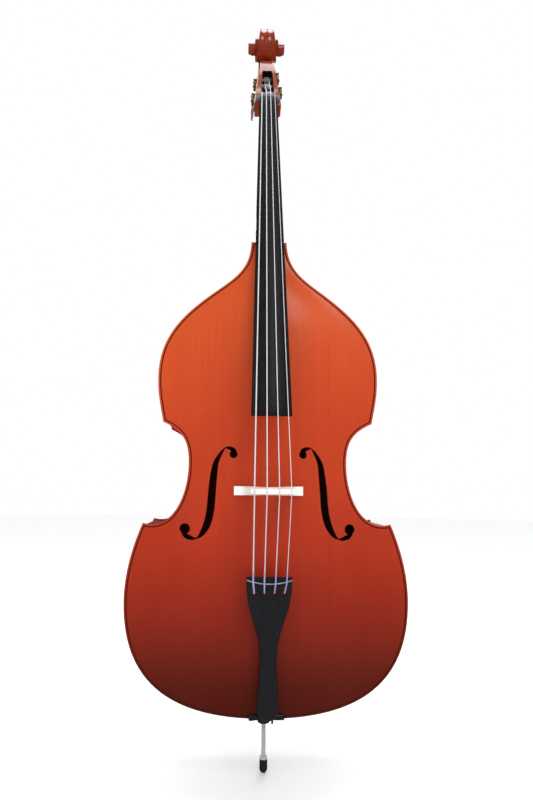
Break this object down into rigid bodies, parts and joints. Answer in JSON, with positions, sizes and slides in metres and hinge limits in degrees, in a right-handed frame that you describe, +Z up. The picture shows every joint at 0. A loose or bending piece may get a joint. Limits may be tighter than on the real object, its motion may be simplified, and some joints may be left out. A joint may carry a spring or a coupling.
{
  "type": "double bass",
  "caption": "upright double bass with carved plates, sound holes, geared tuning machines and a sliding endpin",
  "frame": {"origin": "the point where the endpin tip meets the floor", "axes": "+Z up along the instrument, -Y out of the carved top toward the player's audience, -X toward the bass side"},
  "size_m": [0.663, 0.4306, 1.9975],
  "materials": {
    "varnished_spruce": "orange-red gloss varnish over spruce",
    "varnished_maple": "orange-red gloss varnish over flamed maple",
    "purfling": "dark inlaid line",
    "bare_spruce": "bare sawn spruce",
    "ebony": "oiled black ebony, satin",
    "bridge_maple": "pale bare maple",
    "pale_fret": "pale fret with blue-grey sheen",
    "steel_cable": "twisted steel cable",
    "steel_rod": "brushed steel",
    "rubber": "matt black rubber",
    "black_plastic": "black moulded plastic",
    "string_steel": "flat-wound steel",
    "brass": "lacquered brass",
    "nickel": "nickel plate"
  },
  "bodies": {
    "root": {"top_plate": "varnished_spruce", "back_plate": "varnished_maple", "top_purfling": "purfling", "back_purfling": "purfling", "rib_lower_left": "varnished_maple", "rib_lower_right": "varnished_maple", "rib_waist_left": "varnished_maple", "rib_waist_right": "varnished_maple", "rib_upper_left": "varnished_maple", "rib_upper_right": "varnished_maple", "lower_corner_blocks": "bare_spruce", "upper_corner_blocks": "bare_spruce", "neck_block": "bare_spruce", "end_block": "bare_spruce", "top_linings": "bare_spruce", "back_linings": "bare_spruce", "bass_bar": "bare_spruce", "sound_post": "bare_spruce", "neck": "varnished_maple", "head": "varnished_maple", "fingerboard": "ebony", "nut": "ebony", "bridge": "bridge_maple", "saddle": "ebony", "tailpiece": "ebony", "tail_fret": "pale_fret", "tail_wire": "steel_cable", "endpin_collar": "ebony", "string_e": "string_steel", "string_a": "string_steel", "string_d": "string_steel", "string_g": "string_steel", "string_balls": "brass", "tuner_plates": "brass", "tuner_bushings": "brass", "plate_screws": "nickel"},
    "endpin": {"endpin_rod": "steel_rod", "endpin_ferrule": "steel_rod", "endpin_tip": "rubber"},
    "thumb_screw": {"thumb_screw": "black_plastic"},
    "key_e": {"key_e": "nickel"},
    "roller_e": {"roller_e": "nickel", "gear_e": "brass", "winding_e": "string_steel"},
    "key_a": {"key_a": "nickel"},
    "roller_a": {"roller_a": "nickel", "gear_a": "brass", "winding_a": "string_steel"},
    "key_d": {"key_d": "nickel"},
    "roller_d": {"roller_d": "nickel", "gear_d": "brass", "winding_d": "string_steel"},
    "key_g": {"key_g": "nickel"},
    "roller_g": {"roller_g": "nickel", "gear_g": "brass", "winding_g": "string_steel"}
  },
  "joints": [
    {"name": "endpin_slide", "type": "slide", "parent": "root", "child": "endpin", "axis": [0, 0, 1], "range_m": [-0.18, 0.07]},
    {"name": "thumb_screw_turn", "type": "hinge", "parent": "root", "child": "thumb_screw", "pos_m": [-0.02, 0, 0.126], "axis": [-1, 0, 0], "range_deg": [-180, 360]},
    {"name": "key_e_turn", "type": "hinge", "parent": "root", "child": "key_e", "pos_m": [-0.03885, 0.02088, 1.758], "axis": [0, 0.9205, -0.3907], "continuous": true},
    {"name": "roller_e_turn", "type": "hinge", "parent": "root", "child": "roller_e", "pos_m": [-0.03129, 0.01354, 1.7407], "axis": [-0.9956, 0.0368, 0.0866], "continuous": true},
    {"name": "key_a_turn", "type": "hinge", "parent": "root", "child": "key_a", "pos_m": [-0.03261, 0.04667, 1.81876], "axis": [0, 0.9205, -0.3907], "continuous": true},
    {"name": "roller_a_turn", "type": "hinge", "parent": "root", "child": "roller_a", "pos_m": [-0.02505, 0.03932, 1.80145], "axis": [-0.9956, 0.0368, 0.0866], "continuous": true},
    {"name": "key_d_turn", "type": "hinge", "parent": "root", "child": "key_d", "pos_m": [0.02959, 0.05917, 1.84821], "axis": [0, 0.9205, -0.3907], "continuous": true},
    {"name": "roller_d_turn", "type": "hinge", "parent": "root", "child": "roller_d", "pos_m": [0.02202, 0.05183, 1.83091], "axis": [0.9956, 0.0368, 0.0866], "continuous": true},
    {"name": "key_g_turn", "type": "hinge", "parent": "root", "child": "key_g", "pos_m": [0.03583, 0.03338, 1.78746], "axis": [0, 0.9205, -0.3907], "continuous": true},
    {"name": "roller_g_turn", "type": "hinge", "parent": "root", "child": "roller_g", "pos_m": [0.02826, 0.02604, 1.77016], "axis": [0.9956, 0.0368, 0.0866], "continuous": true}
  ],
  "couplings": [
    {"joint": "roller_e_turn", "follows": "key_e_turn", "ratio": 0.045455},
    {"joint": "roller_a_turn", "follows": "key_a_turn", "ratio": 0.045455},
    {"joint": "roller_d_turn", "follows": "key_d_turn", "ratio": 0.045455},
    {"joint": "roller_g_turn", "follows": "key_g_turn", "ratio": 0.045455}
  ]
}
